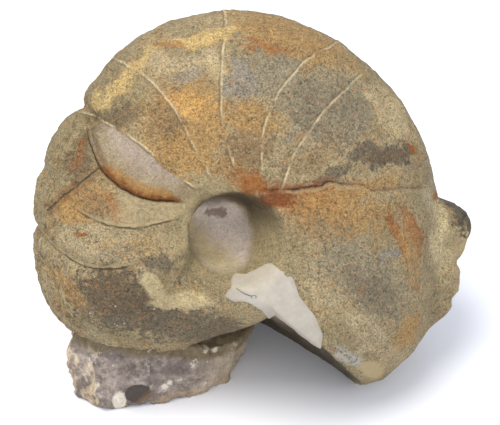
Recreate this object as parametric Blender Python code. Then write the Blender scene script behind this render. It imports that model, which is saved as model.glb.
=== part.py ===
"""Fossil nautilus: the stone mould of an inflated coiled shell, with a block of its bedding rock.

The coil follows a logarithmic spiral. Half-plane sections of the last whorl stand round the coil axis
like the treads of a spiral stair; the first tread is the broken mouth, the last one the early whorl that
passes under it. The coil leans back and rests on the rim by its mouth and on the rock block beneath its
early chambers. A plaster fill repairs the lip beside the navel (umbilicus).
"""

import bpy
import bmesh
from math import acos, cos, exp, pi, radians, sin
from mathutils import Matrix, Vector

# ---------------------------------------------------------------- driving dimensions (metres, degrees)
MOUTH_RADIUS = 0.129        # coil axis to the outer rim at the mouth
TURN_GROWTH = 1.99          # how much the radius grows in one full turn
WIDTH_RATIO = 0.50          # half width of the whorl over its radius
FLANK_CREST = 0.36          # radius of the widest place, over the whorl radius
MOUTH_ANGLE = -49.5         # direction of the mouth at the rim, from the right-hand side
LIP_SWEEP = 16.0            # how far the lip sweeps forward from the rim to the navel
FAR_LIP_LEAD = 10.0         # how far the far lip stands ahead of the near one
NAVEL_FLOOR_RADIUS = 0.008  # umbilicus: floor, inside its wall
NAVEL_RADIUS = 0.020        # umbilicus: top of its wall
NAVEL_FLOOR = 0.027         # umbilicus: floor above the mid plane
LIP_START = 0.036           # where the lip of the mouth rises out of the early whorl, from the axis

LEAN_BACK = 24.0            # coil axis above the horizontal
TURN_RIGHT = 13.4           # coil axis turned to the right of the front
AXIS_HEIGHT = 0.0885        # coil centre above the surface it stands on

FIT_GAP = 0.0003            # clearance between the plaster and the stone
FILL_DEPTH = 0.009          # thickness of the plaster fill

SECTIONS = 80               # treads in the last whorl
FLANK_POINTS = 9            # points from rim to crest on one side of a section
WALL_POINTS = 8             # points from the axis to the start of the lip on one side of a section


def clear_scene():
    for old in list(bpy.data.objects):
        bpy.data.objects.remove(old, do_unlink=True)


def material(name, colour, roughness):
    made = bpy.data.materials.new(name)
    made.use_nodes = True
    shader = made.node_tree.nodes["Principled BSDF"]
    shader.inputs["Base Color"].default_value = (*colour, 1.0)
    shader.inputs["Roughness"].default_value = roughness
    shader.inputs["Metallic"].default_value = 0.0
    return made


def smooth_step(low, high, value):
    x = min(1.0, max(0.0, (value - low) / (high - low)))
    return x * x * (3.0 - 2.0 * x)


def bump(middle, spread, value):
    return exp(-((value - middle) / spread) ** 2)


# ---------------------------------------------------------------- the coil's own frame
def coil_frame():
    """Coil axes in the world: u to the right, v upward, and the axis toward the front."""
    turn = Matrix.Rotation(radians(TURN_RIGHT), 3, "Z")
    axis = turn @ Vector((0.0, -cos(radians(LEAN_BACK)), sin(radians(LEAN_BACK))))
    right = turn @ Vector((1.0, 0.0, 0.0))
    up = axis.cross(right)
    frame = Matrix((right, up, axis)).transposed().to_4x4()
    frame.translation = Vector((0.0, 0.0, AXIS_HEIGHT))
    return frame


def whorl_radius(back):
    """Outer radius of the whorl, back degrees before the mouth."""
    radius = MOUTH_RADIUS * TURN_GROWTH ** (-back / 360.0)
    radius *= 1.0 - 0.08 * exp(-back / 7.0)                   # worn lip corner
    radius *= 1.0 + 0.04 * bump(16.0, 12.0, back)             # flared just behind the lip
    radius *= 1.0 - 0.075 * bump(180.0, 25.0, back)           # flattened over the older chambers
    radius *= 1.0 + 0.15 * bump(262.0, 27.0, back)            # swollen early chambers
    radius *= 1.0 - 0.13 * smooth_step(300.0, 335.0, back)    # pinched in under the mouth
    return radius


def chamber_bulge(back):
    """The outer wall bows gently between the partitions of the chambered part."""
    inside = smooth_step(150.0, 200.0, back)
    return 1.0 + 0.010 * inside * cos(radians(back - 180.0) * 12.0)


def keel_remnant(back, height):
    """Lump of matrix left on the outer rim of the body chamber."""
    along = smooth_step(14.0, 24.0, back) * (1.0 - smooth_step(42.0, 48.0, back))
    peak = 0.7 + 0.3 * bump(40.0, 6.0, back)
    return 0.014 * along * peak * bump(0.004, 0.026, height)


def flank_height(back, rho):
    """Height of the near flank above the mid plane, outside the navel."""
    radius = whorl_radius(back)
    half_width = WIDTH_RATIO * radius
    crest = FLANK_CREST * radius
    if rho < crest:
        return half_width * (1.0 - 0.07 * ((crest - rho) / crest) ** 2)
    out = min(1.0, (rho - crest) / (radius - crest))
    return half_width * (1.0 - out ** 2.1) ** 0.48


def inner_height(back, rho):
    """Height inside the start of the lip, where the early whorl ramps up to meet the late one."""
    ramp = smooth_step(285.0, 360.0, back)
    flank = flank_height(back, rho) * (1.0 - ramp) + flank_height(0.0, rho) * ramp
    wall = smooth_step(NAVEL_FLOOR_RADIUS, NAVEL_RADIUS, rho)
    return NAVEL_FLOOR + (max(flank, NAVEL_FLOOR + 0.002) - NAVEL_FLOOR) * wall


def section(back):
    """Half-plane outline from the near navel floor over the rim to the far floor: (rho, height)."""
    radius = whorl_radius(back)
    rim = radius * chamber_bulge(back)
    crest = FLANK_CREST * radius
    near = []
    for i in range(WALL_POINTS + 1):
        rho = LIP_START * i / WALL_POINTS
        near.append((rho, inner_height(back, rho)))
    first = 0.5 * pi
    if crest < LIP_START:
        first = acos((LIP_START - crest) / (rim - crest))
    raised = inner_height(back, LIP_START) / flank_height(back, LIP_START)
    for i in range(1, FLANK_POINTS):
        turn = first * (1.0 - i / FLANK_POINTS)
        rho = crest + (rim - crest) * cos(turn)
        near.append((rho, raised * flank_height(back, rho * radius / rim)))
    far = [(rho, -height) for rho, height in reversed(near)]
    outline = near + [(rim, 0.0)] + far
    return [(rho + keel_remnant(back, h) * rho / rim, h) for rho, h in outline]


def lip_angle(back, rho, height, radius):
    """Direction of a section point; the lip sweeps forward near the navel and on the far side."""
    inward = 1.0 - min(1.0, rho / radius)
    ends = 1.0 - smooth_step(0.0, 70.0, back) + smooth_step(200.0, 360.0, back)
    sweep = LIP_SWEEP * inward + 40.0 * inward ** 5
    lead = FAR_LIP_LEAD * (1.0 + 1.8 * inward) * (0.5 - 0.5 * height / (WIDTH_RATIO * radius))
    return MOUTH_ANGLE + back - (sweep + lead) * ends


def coil_mesh(frame):
    """Closed mesh: treads joined round the axis, and the mouth face between the first and last."""
    shape = bmesh.new()
    rings = []
    for i in range(SECTIONS + 1):
        back = 360.0 * i / SECTIONS
        ring = []
        for rho, height in section(back):
            angle = radians(lip_angle(back, rho, height, MOUTH_RADIUS))
            ring.append(shape.verts.new(frame @ Vector((rho * cos(angle), rho * sin(angle), height))))
        rings.append(ring)
    # Every tread shares the two points where the axis leaves the navel floors, and inside the
    # start of the lip the last tread is the first one again.
    last = len(rings[0]) - 1
    for ring in rings[1:]:
        for end in (0, last):
            shape.verts.remove(ring[end])
            ring[end] = rings[0][end]
    for j in range(1, WALL_POINTS + 1):
        for k in (j, last - j):
            shape.verts.remove(rings[-1][k])
            rings[-1][k] = rings[0][k]
    for first, second in list(zip(rings, rings[1:])) + [(rings[-1], rings[0])]:
        for j in range(last):
            corners = []
            for vertex in (first[j], first[j + 1], second[j + 1], second[j]):
                if vertex not in corners:
                    corners.append(vertex)
            if len(corners) > 2:
                shape.faces.new(corners)
    bmesh.ops.recalc_face_normals(shape, faces=shape.faces)
    bmesh.ops.triangulate(shape, faces=shape.faces)
    return shape


# ---------------------------------------------------------------- the bedding rock under the coil
def rock_block_mesh():
    """Faceted block with a flat base: an outline on the base, a wider one half way and one on top."""
    base = [(-0.067, -0.038), (-0.053, -0.048), (-0.028, -0.044), (-0.006, -0.037), (0.006, -0.026),
            (0.014, -0.008), (0.012, 0.014), (-0.006, 0.024), (-0.042, 0.026), (-0.064, 0.010)]
    middle = Vector((-0.030, -0.008, 0.0))
    levels = [(-0.002, 1.00, 0.0), (0.014, 1.03, -0.001), (0.030, 1.02, -0.001), (0.046, 0.90, 0.002)]
    shape = bmesh.new()
    rings = []
    for height, spread, shift in levels:
        ring = []
        for x, y in base:
            point = middle + (Vector((x + shift, y, 0.0)) - middle) * spread
            # the left end stands higher than the right, which slopes down under the mouth
            rise = height * (1.0 - 0.45 * smooth_step(-0.050, 0.020, x)) if height > 0.02 else height
            ring.append(shape.verts.new((point.x, point.y, rise)))
        rings.append(ring)
    for first, second in zip(rings, rings[1:]):
        for j in range(len(first)):
            k = (j + 1) % len(first)
            shape.faces.new((first[j], first[k], second[k], second[j]))
    shape.faces.new(list(reversed(rings[0])))
    shape.faces.new(rings[-1])
    bmesh.ops.recalc_face_normals(shape, faces=shape.faces)
    bmesh.ops.triangulate(shape, faces=shape.faces)
    return shape


# ---------------------------------------------------------------- the plaster fill in the lip
def fill_outline():
    """Two sides of the fill on the near flank: place in the coil plane, and height of the flank."""
    flank_side = [(-0.0050, -0.0300, 0.045), (-0.0010, -0.0225, 0.053), (0.0060, -0.0180, 0.060),
                  (0.0180, -0.0164, 0.062), (0.0262, -0.0236, 0.063), (0.0285, -0.0330, 0.064),
                  (0.0351, -0.0432, 0.063), (0.0383, -0.0530, 0.060), (0.0372, -0.0610, 0.056)]
    # This side passes the lip of the mouth and stands in the open.
    open_side = [(0.0310, -0.0660, 0.055), (0.0200, -0.0520, 0.056), (0.0105, -0.0375, 0.056),
                 (0.0040, -0.0322, 0.054), (-0.0020, -0.0322, 0.049)]
    return flank_side, open_side


def lace_sides(shape, one, other):
    """Triangles across a long face, from one side to the other, always in the same pattern."""
    i = j = 0
    while i < len(one) - 1 or j < len(other) - 1:
        if j == len(other) - 1 or (i + 1) * (len(other) - 1) <= (j + 1) * (len(one) - 1):
            shape.faces.new((one[i], one[i + 1], other[j]))
            i += 1
        else:
            shape.faces.new((one[i], other[j + 1], other[j]))
            j += 1


def offset_corner(before, corner, after, distance):
    """Move an outline corner outward so that both of its edges move by the distance."""
    first = (corner - before).to_2d().normalized()
    second = (after - corner).to_2d().normalized()
    normals = [Vector((-edge.y, edge.x)) for edge in (first, second)]
    mitre = normals[0] + normals[1]
    mitre *= 2.0 * distance / mitre.length_squared
    return corner + mitre.to_3d()


def fill_prism_mesh(frame, grow):
    """Prism through the near flank, square to the coil plane; grow widens and deepens it."""
    flank_side, open_side = fill_outline()
    points = [Vector(point) for point in flank_side + open_side]
    low, high = [], []
    shape = bmesh.new()
    for j, point in enumerate(points):
        # the outline runs clockwise, so the left-hand normals point outward
        place = offset_corner(points[j - 1], point, points[(j + 1) % len(points)], grow)
        # the sloping end needs more than the gap in depth to keep the gap square to the slope
        place.z = point.z - FILL_DEPTH - 3.0 * grow
        low.append(shape.verts.new(frame @ place))
        place.z = point.z + FILL_DEPTH
        high.append(shape.verts.new(frame @ place))
    for j in range(len(points)):
        k = (j + 1) % len(points)
        shape.faces.new((low[j], low[k], high[k], high[j]))
    split = len(flank_side)
    for ring in (low, high):
        lace_sides(shape, ring[:split], list(reversed(ring[split:])))
    bmesh.ops.recalc_face_normals(shape, faces=shape.faces)
    bmesh.ops.triangulate(shape, faces=shape.faces)
    return shape


# ---------------------------------------------------------------- assembly
def add_object(name, shape, finish=None):
    mesh = bpy.data.meshes.new(name)
    shape.to_mesh(mesh)
    shape.free()
    made = bpy.data.objects.new(name, mesh)
    bpy.context.collection.objects.link(made)
    if finish:
        mesh.materials.append(finish)
    return made


def add_cutter(name, shape):
    made = add_object(name, shape)
    made.hide_render = True
    made.display_type = "WIRE"
    return made


def boolean(target, name, operation, other):
    step = target.modifiers.new(name, "BOOLEAN")
    step.operation = operation
    step.object = other
    step.solver = "EXACT"


def floor_box_mesh():
    """Everything below the surface that the fossil stands on."""
    shape = bmesh.new()
    bmesh.ops.create_cube(shape, size=1.0)
    bmesh.ops.scale(shape, vec=(0.6, 0.6, 0.1), verts=shape.verts)
    bmesh.ops.translate(shape, vec=(0.0, 0.0, -0.05), verts=shape.verts)
    return shape


def centre_on_base(pieces):
    """Move the pieces so that the origin lies under the middle of the whole."""
    graph = bpy.context.evaluated_depsgraph_get()
    corners = []
    for piece in pieces:
        seen = piece.evaluated_get(graph)
        mesh = seen.to_mesh()
        corners += [vertex.co.copy() for vertex in mesh.vertices]
        seen.to_mesh_clear()
    middle = [(min(c[i] for c in corners) + max(c[i] for c in corners)) / 2.0 for i in (0, 1)]
    stand = bpy.data.objects.new("stand", None)
    bpy.context.collection.objects.link(stand)
    for made in list(bpy.data.objects):
        if made is not stand:
            made.parent = stand
    stand.location = (-middle[0], -middle[1], 0.0)


clear_scene()
coil_axes = coil_frame()
stone = material("Ochre stone mould", (0.32, 0.24, 0.13), 0.85)
plaster = material("White plaster", (0.68, 0.63, 0.56), 0.75)

block = add_cutter("rock_block", rock_block_mesh())
floor_box = add_cutter("floor_box", floor_box_mesh())
recess = add_cutter("fill_recess", fill_prism_mesh(coil_axes, FIT_GAP))
fill_source = add_cutter("fill_source", coil_mesh(coil_axes))

fossil = add_object("nautilus_fossil", coil_mesh(coil_axes), stone)
boolean(fossil, "Block", "UNION", block)
boolean(fossil, "Stand", "DIFFERENCE", floor_box)
boolean(fossil, "Recess", "DIFFERENCE", recess)

fill = add_object("plaster_fill", fill_prism_mesh(coil_axes, 0.0), plaster)
boolean(fill, "Flush", "INTERSECT", fill_source)

centre_on_base([fossil, fill])
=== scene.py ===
from math import cos, pi, radians, sin

import bmesh
import bpy
from mathutils import Matrix, Vector, noise


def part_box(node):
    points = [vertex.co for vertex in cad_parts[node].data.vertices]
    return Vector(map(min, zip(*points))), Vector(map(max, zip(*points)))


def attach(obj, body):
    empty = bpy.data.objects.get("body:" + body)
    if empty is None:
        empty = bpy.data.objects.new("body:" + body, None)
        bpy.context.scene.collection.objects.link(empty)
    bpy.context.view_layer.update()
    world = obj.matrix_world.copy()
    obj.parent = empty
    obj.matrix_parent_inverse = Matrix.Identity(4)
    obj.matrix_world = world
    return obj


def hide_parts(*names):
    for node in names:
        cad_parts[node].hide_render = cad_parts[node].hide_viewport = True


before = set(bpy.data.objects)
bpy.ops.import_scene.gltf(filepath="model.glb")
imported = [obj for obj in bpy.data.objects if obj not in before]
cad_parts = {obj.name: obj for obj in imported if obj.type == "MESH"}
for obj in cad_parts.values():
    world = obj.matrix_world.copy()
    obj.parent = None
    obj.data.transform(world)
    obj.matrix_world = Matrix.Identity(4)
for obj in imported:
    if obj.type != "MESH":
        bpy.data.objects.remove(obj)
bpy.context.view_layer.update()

# ============================================================ the stone mould of the shell
# Lime mud filled the coiled shell and set; the shell wore away and left this ochre siltstone mould.
# It is one lump: a smooth body chamber, the older chambers with their partition lines (sutures) on
# the left, a deep navel in each flank, and a broken mouth face low on the right.

node_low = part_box("nautilus_fossil")[0]
COIL_CENTRE = Vector(node_low) + Vector((0.0852, 0.0662, 0.0885))   # on the coil axis, mid plane
LEAN_BACK = 24.0
TURN_RIGHT = 13.4
turned = Matrix.Rotation(radians(TURN_RIGHT), 3, "Z")
COIL_AXIS = turned @ Vector((0.0, -cos(radians(LEAN_BACK)), sin(radians(LEAN_BACK))))
COIL_RIGHT = turned @ Vector((1.0, 0.0, 0.0))
COIL_UP = COIL_AXIS.cross(COIL_RIGHT)

MOUTH_ANGLE = -49.5
MOUTH_RADIUS = 0.129
TURN_GROWTH = 1.99
LIP_START = 0.036                  # inside this radius the early whorl meets the late one
OUTER_SHARE = 0.70                 # share of a rib's points that lie outside that radius
NEAR_SHARE = 0.58                  # share of a rib's points on the near flank
MM = 0.001


class Wire:
    """An output socket of a node tree. Arithmetic on it adds Math nodes to that tree."""

    def __init__(self, tree, socket):
        self.tree = tree
        self.socket = socket

    @staticmethod
    def add(tree, kind, settings=None, inputs=None, output=0):
        """Add a node: first its settings, then the values or links of its sockets."""
        made = tree.nodes.new(kind)
        for name, value in (settings or {}).items():
            setattr(made, name, value)
        for name, value in (inputs or {}).items():
            if isinstance(value, Wire):
                tree.links.new(value.socket, made.inputs[name])
            else:
                made.inputs[name].default_value = value
        return Wire(tree, made.outputs[output])

    def math(self, operation, *others):
        inputs = dict(enumerate((self,) + others))
        return Wire.add(self.tree, "ShaderNodeMath", {"operation": operation}, inputs)

    def __add__(self, other):
        return self.math("ADD", other)

    __radd__ = __add__

    def __sub__(self, other):
        return self.math("SUBTRACT", other)

    def __rsub__(self, other):
        return Wire.add(self.tree, "ShaderNodeMath", {"operation": "SUBTRACT"}, {0: other, 1: self})

    def __mul__(self, other):
        return self.math("MULTIPLY", other)

    __rmul__ = __mul__

    def __truediv__(self, other):
        return self.math("DIVIDE", other)

    def __pow__(self, other):
        return self.math("POWER", other)

    def __rpow__(self, other):
        return Wire.add(self.tree, "ShaderNodeMath", {"operation": "POWER"}, {0: other, 1: self})

    def step(self, low, high):
        """Smooth step from 0 at low to 1 at high; low may be the larger."""
        inputs = {"Value": self, "From Min": low, "From Max": high}
        settings = {"interpolation_type": "SMOOTHSTEP"}
        if low > high:
            inputs = {"Value": self, "From Min": high, "From Max": low, "To Min": 1.0, "To Max": 0.0}
        return Wire.add(self.tree, "ShaderNodeMapRange", settings, inputs)

    def bump(self, middle, spread):
        """Bell curve, 1 at the middle."""
        away = (self - middle) / spread
        return (away * away * -1.0).math("EXPONENT")

    def over(self, least):
        return self.math("MAXIMUM", least)

    def under(self, most):
        return self.math("MINIMUM", most)


def parts_of(vector):
    """The three numbers of a vector."""
    return [Wire.add(vector.tree, "ShaderNodeSeparateXYZ", {}, {0: vector}, i) for i in range(3)]


def joined(tree, x, y, z):
    return Wire.add(tree, "ShaderNodeCombineXYZ", {}, {0: x, 1: y, 2: z})


def vector_math(operation, one, other, output=0):
    second = 3 if operation == "SCALE" else 1
    inputs = {0: one, second: other}
    return Wire.add(one.tree, "ShaderNodeVectorMath", {"operation": operation}, inputs, output)


def coil_coordinates(point):
    """x and y of a point in the coil plane, height, distance from the axis, degrees before the mouth."""
    local = vector_math("SUBTRACT", point, tuple(COIL_CENTRE))
    axes = (COIL_RIGHT, COIL_UP, COIL_AXIS)
    x, y, height = [vector_math("DOT_PRODUCT", local, tuple(axis), 1) for axis in axes]
    rho = (x * x + y * y).math("SQRT")
    angle = y.math("ARCTAN2", x) * (180.0 / pi)
    past_lip = 15.0                # the lip sweeps up to this far past the mouth angle: back is 0 there
    back = (angle - MOUTH_ANGLE + 360.0 + past_lip).math("MODULO", 360.0) - past_lip
    return x, y, height, rho, back.over(0.0)


def whorl_radius(back, mouth_radius=MOUTH_RADIUS, turn_growth=TURN_GROWTH, worn_lip=True):
    """Outer radius, back degrees before the mouth: a log spiral, swollen and waisted as this coil is."""
    radius = mouth_radius * turn_growth ** (back / -360.0)
    if worn_lip:
        radius = radius * (1.0 - 0.08 * (back / -7.0).math("EXPONENT"))
    radius = radius * (1.0 + 0.04 * back.bump(16.0, 12.0))
    radius = radius * (1.0 - 0.075 * back.bump(180.0, 25.0))
    radius = radius * (1.0 + 0.15 * back.bump(262.0, 27.0))
    return radius * (1.0 - 0.13 * back.step(300.0, 335.0))


def suture_back(mid, inner_bend, outer_bend, ratio):
    """Course of one suture: its degrees before the mouth at a share of the whorl radius."""
    inside = (0.52 - ratio).over(0.0) / 0.24
    outside = (ratio - 0.52).over(0.0) / 0.30
    return mid - inner_bend * inside * inside - outer_bend * outside * outside


# (middle, inner bend, outer bend) in degrees, from the youngest partition to the oldest
SUTURES = [(94.2, 12.0, 3.0), (114.0, 11.5, 7.0), (136.0, 11.0, 2.5), (155.3, 6.0, -3.5),
           (177.0, 8.5, -3.0), (202.0, 11.5, 8.5), (222.0, 10.3, 6.0), (243.5, 9.0, 7.0)]
STEP_SUTURE = 5                    # this one is an open step, rusted along its upper side
LAST_SUTURE = 7                    # the oldest shows on its outer half only
SUTURE_WANDER = 1.1                # how far the sutures and the crack stray from their course
CRACK_WANDER = 1.4


def suture_reach(number, ratio):
    """Where an old suture shows, between its inner and its outer end on the whorl."""
    inner_end = (0.44, 0.56) if number == LAST_SUTURE else (0.24, 0.34)
    outer_end = 0.99 if number == LAST_SUTURE else 0.84
    return ratio.step(*inner_end) * ratio.step(outer_end, outer_end - 0.08)


def oval(x, y, middle_x, middle_y, long, short, turn):
    """Distance from the middle of a turned oval in the coil plane (mm), 1 on its edge."""
    run, rise = cos(radians(turn)), sin(radians(turn))
    along = ((x - middle_x) * run + (y - middle_y) * rise) / long
    aside = ((y - middle_y) * run - (x - middle_x) * rise) / short
    return (along * along + aside * aside).math("SQRT")


def lime_crust(x, y, wander):
    """The raised crust on the early whorl: an upright arm and a broad foot, 1 where it lies."""
    arm = oval(x + wander * 1.5, y - wander, -36.8, -23.0, 11.0, 4.6, -56.0)
    foot = oval(x - wander, y + wander * 1.8, -24.5, -32.5, 15.0, 5.0, -5.0)
    return arm.under(foot).step(1.2, 0.75)


def old_crack(x, y, wander):
    """Distance in mm from the oblique crack that cuts off the left rim, large beyond its ends."""
    along = (x + 68.0) * 0.79 + (y - 25.5) * 0.61
    aside = (y - 25.5) * 0.79 - (x + 68.0) * 0.61 + along * along * 0.004 + wander * 0.5
    return aside.math("ABSOLUTE") + (along.math("ABSOLUTE") - 16.0).over(0.0) * 2.0


def crack_off(x, y, wander):
    """Height above the long crack from the navel to the rim, in the coil plane (mm)."""
    gone = x - 25.0
    course = 17.3 - 0.0014 * gone * gone - 3.5 * x.step(63.0, 71.0) + 2.0 * x.bump(49.0, 4.0)
    return y - course + wander * CRACK_WANDER


def crack_reach(x):
    """Where the long crack shows: it starts in the navel's shoulder and fades towards the rim."""
    return x.step(13.0, 18.0) * x.step(108.0, 96.0) * (0.4 + 0.6 * x.step(62.0, 46.0))


def rim_streaks(back, ratio):
    """The worn rim of the oldest chambers, which weathers in streaks along the coil."""
    return ratio.step(0.74, 0.92) * back.step(205.0, 235.0) * back.step(330.0, 310.0)


def along_coil(tree, back, rho, height):
    """A place that changes slowly along the coil, for streaks that run along it."""
    return joined(tree, back * (pi / 180.0) * rho * 0.14, rho, height)


FILL_FROM = Vector((1.0, -27.0))   # middle line of the plaster in the coil plane, mm
FILL_RUN = Vector((32.0, -59.0)) - FILL_FROM

coil_tree = bpy.data.node_groups.new("Coil of the mould", "GeometryNodeTree")
COIL_SIZES = [("Mouth Radius", MOUTH_RADIUS), ("Turn Growth", TURN_GROWTH), ("Width Ratio", 0.50),
              ("Flank Crest", 0.36), ("Lip Sweep", 16.0), ("Far Lip Lead", 10.0), ("Navel Floor", 0.026),
              ("Relief", 1.0)]
COIL_COUNTS = [("Treads", 430), ("Rib Points", 190), ("Mouth Steps", 34), ("Seed", 7)]
coil_tree.interface.new_socket(name="Mesh", in_out="OUTPUT", socket_type="NodeSocketGeometry")
coil_socket = {}
for socket_type, labelled in (("NodeSocketFloat", COIL_SIZES), ("NodeSocketInt", COIL_COUNTS)):
    for name, value in labelled:
        made = coil_tree.interface.new_socket(name=name, in_out="INPUT", socket_type=socket_type)
        coil_socket[name] = made
coil_inputs = coil_tree.nodes.new("NodeGroupInput")
given = {name: Wire(coil_tree, coil_inputs.outputs[name]) for name in coil_socket}


def flank_height(back, rho, worn_lip=True):
    """Height of the flank above the mid plane, outside the navel."""
    radius = whorl_radius(back, given["Mouth Radius"], given["Turn Growth"], worn_lip)
    half_width = given["Width Ratio"] * radius
    crest = given["Flank Crest"] * radius
    inward = (crest - rho).over(0.0) / crest
    outward = ((rho - crest).over(0.0) / (radius - crest)).under(1.0)
    return half_width * (1.0 - 0.07 * inward * inward) * (1.0 - outward ** 2.1).over(0.0) ** 0.48


def shoulder_height(back, rho):
    """Flank height inside the start of the lip, where the early whorl ramps up to meet the late one."""
    ramp = back.step(285.0, 360.0)
    return flank_height(back, rho, False) * (1.0 - ramp) + flank_height(back * 0.0, rho, False) * ramp


def navel_wall(x, y, rho):
    """Share of the way up the navel's wall: steep above and left, a wide funnel right and below."""
    to_right, to_top = x / (rho + 0.0001), y / (rho + 0.0001)
    foot = 0.0125 - 0.0020 * to_right - 0.0015 * to_top
    head = 0.0225 + 0.0048 * to_right - 0.0042 * to_top
    return Wire.add(coil_tree, "ShaderNodeMapRange", {"interpolation_type": "SMOOTHSTEP"},
                    {"Value": rho, "From Min": foot, "From Max": head})


def rib_point(back, across):
    """A point of the coil, back degrees before the mouth, across from near navel (1) to far (-1)."""
    radius = whorl_radius(back, given["Mouth Radius"], given["Turn Growth"])
    away = across.math("ABSOLUTE")
    inside = away.math("GREATER_THAN", OUTER_SHARE)
    inner_rho = LIP_START * ((1.0 - away) / (1.0 - OUTER_SHARE)).under(1.0)
    round_rim = ((away / OUTER_SHARE).under(1.0) * (pi / 2)).math("COSINE")
    outer_rho = LIP_START + (radius - LIP_START) * round_rim
    edge = back * 0.0 + LIP_START
    raised = shoulder_height(back, edge) / flank_height(back, edge)
    rho = inner_rho * inside + outer_rho * (1.0 - inside)
    height = raised * flank_height(back, outer_rho) * (1.0 - inside)
    height = shoulder_height(back, inner_rho) * inside + height
    side = across.math("SIGN")
    mouth_radius = given["Mouth Radius"]
    inward = 1.0 - (rho / mouth_radius).under(1.0)
    ends = 1.0 - back.step(0.0, 70.0) + back.step(200.0, 360.0)
    sweep = given["Lip Sweep"] * inward + 40.0 * inward ** 5.0
    depth = 0.5 - 0.5 * side * height / (given["Width Ratio"] * mouth_radius)
    lead = given["Far Lip Lead"] * (1.0 + 1.8 * inward) * depth
    angle = (MOUTH_ANGLE + back - (sweep + lead) * ends) * (pi / 180.0)
    x, y = rho * angle.math("COSINE"), rho * angle.math("SINE")
    floor_height = given["Navel Floor"] + (y * -0.10).over(0.0)
    sunk = floor_height + (height.over(floor_height + 0.001) - floor_height) * navel_wall(x, y, rho)
    height = (sunk * inside + height * (1.0 - inside)) * side
    axes = zip(COIL_RIGHT, COIL_UP, COIL_AXIS, COIL_CENTRE)
    return joined(coil_tree, *[x * right + y * up + height * axis + centre
                               for right, up, axis, centre in axes])


def shifted(point, offset):
    """The point moved away, so that two textures of one size differ."""
    return vector_math("ADD", point, (offset, offset * 0.37, -offset * 0.61))


def lumps(point, size_mm, detail=3.0, roughness=0.55, offset=0.0):
    """Noise about 0 with lumps of the given size."""
    inputs = {"Vector": shifted(point, offset), "Scale": 1000.0 / size_mm, "Detail": detail,
              "Roughness": roughness}
    return Wire.add(point.tree, "ShaderNodeTexNoise", {}, inputs) - 0.5


def pocks(point, size_mm, offset):
    """Distance to the nearest of many scattered seeds, in shares of their spacing."""
    inputs = {"Vector": shifted(point, offset), "Scale": 1000.0 / size_mm}
    return Wire.add(point.tree, "ShaderNodeTexVoronoi", {"feature": "F1"}, inputs)


def reshaped(mesh, change, value):
    """The mesh with its points set to a Position or moved by an Offset."""
    return Wire.add(coil_tree, "GeometryNodeSetPosition", {}, {"Geometry": mesh, change: value})


# --- ribs of the coil, and the mouth face laced between the first rib and the last
index = Wire.add(coil_tree, "GeometryNodeInputIndex")
treads, rib_points, mouth_steps = given["Treads"], given["Rib Points"], given["Mouth Steps"]
coil_grid = Wire.add(coil_tree, "GeometryNodeMeshGrid", {},
                     {"Vertices X": treads, "Vertices Y": rib_points})
tread = (index / rib_points + 0.0001).math("FLOOR")
point_share = (index - tread * rib_points) / (rib_points - 1.0)
past_near = (point_share - NEAR_SHARE).over(0.0) / (1.0 - NEAR_SHARE)
across = (1.0 - point_share / NEAR_SHARE).over(0.0) - past_near
back = tread / (treads - 1.0) * 360.0
coil = reshaped(coil_grid, "Position", rib_point(back, across))

place = Wire.add(coil_tree, "GeometryNodeInputPosition")
mouth_grid = Wire.add(coil_tree, "GeometryNodeMeshGrid", {},
                      {"Vertices X": mouth_steps, "Vertices Y": rib_points})
mouth_row = (index / rib_points + 0.0001).math("FLOOR")
mouth_column = index - mouth_row * rib_points
ends_of_row = []
for row in (treads * 0.0, treads - 1.0):
    inputs = {"Geometry": coil, "Value": place, "Index": row * rib_points + mouth_column}
    sampled = Wire.add(coil_tree, "GeometryNodeSampleIndex", {"data_type": "FLOAT_VECTOR"}, inputs)
    ends_of_row.append(sampled)
mouth_share = mouth_row / (mouth_steps - 1.0)
mouth_run = vector_math("SUBTRACT", ends_of_row[1], ends_of_row[0])
mouth_place = vector_math("ADD", ends_of_row[0], vector_math("SCALE", mouth_run, mouth_share))
mouth = reshaped(mouth_grid, "Position", mouth_place)
coil = Wire.add(coil_tree, "GeometryNodeFlipFaces", {}, {"Mesh": coil})
hollow = (mouth_share * pi).math("SINE")
mouth = Wire.add(coil_tree, "GeometryNodeStoreNamedAttribute", {"data_type": "FLOAT", "domain": "POINT"},
                 {"Geometry": mouth, "Name": "mouth_hollow", "Value": hollow})
both = coil_tree.nodes.new("GeometryNodeJoinGeometry")
coil_tree.links.new(mouth.socket, both.inputs[0])
coil_tree.links.new(coil.socket, both.inputs[0])
closed = Wire.add(coil_tree, "GeometryNodeMergeByDistance", {},
                  {"Geometry": Wire(coil_tree, both.outputs[0]), "Distance": 0.00012})

# --- relief: chambers, sutures, the crack, worn rim and broken mouth
x, y, height, rho, back = coil_coordinates(place)
radius = whorl_radius(back, given["Mouth Radius"], given["Turn Growth"])
ratio = rho / radius
seed_shift = given["Seed"] * 0.013
seeded = vector_math("ADD", place, joined(coil_tree, seed_shift, seed_shift, seed_shift))
x_mm, y_mm = x / MM, y / MM
hollow = Wire.add(coil_tree, "GeometryNodeInputNamedAttribute", {"data_type": "FLOAT"},
                  {"Name": "mouth_hollow"})
hollow = hollow * rho.step(0.038, 0.048)
near = height.step(0.0, 0.01)
on_shell = 1.0 - (hollow * 6.0).under(1.0)
outside_navel = rho.step(0.016, 0.026)
wander = lumps(seeded, 9.0, 3.0) * 2.2 + lumps(seeded, 2.5, 2.0, 0.5, 0.3) * 0.8

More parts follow.
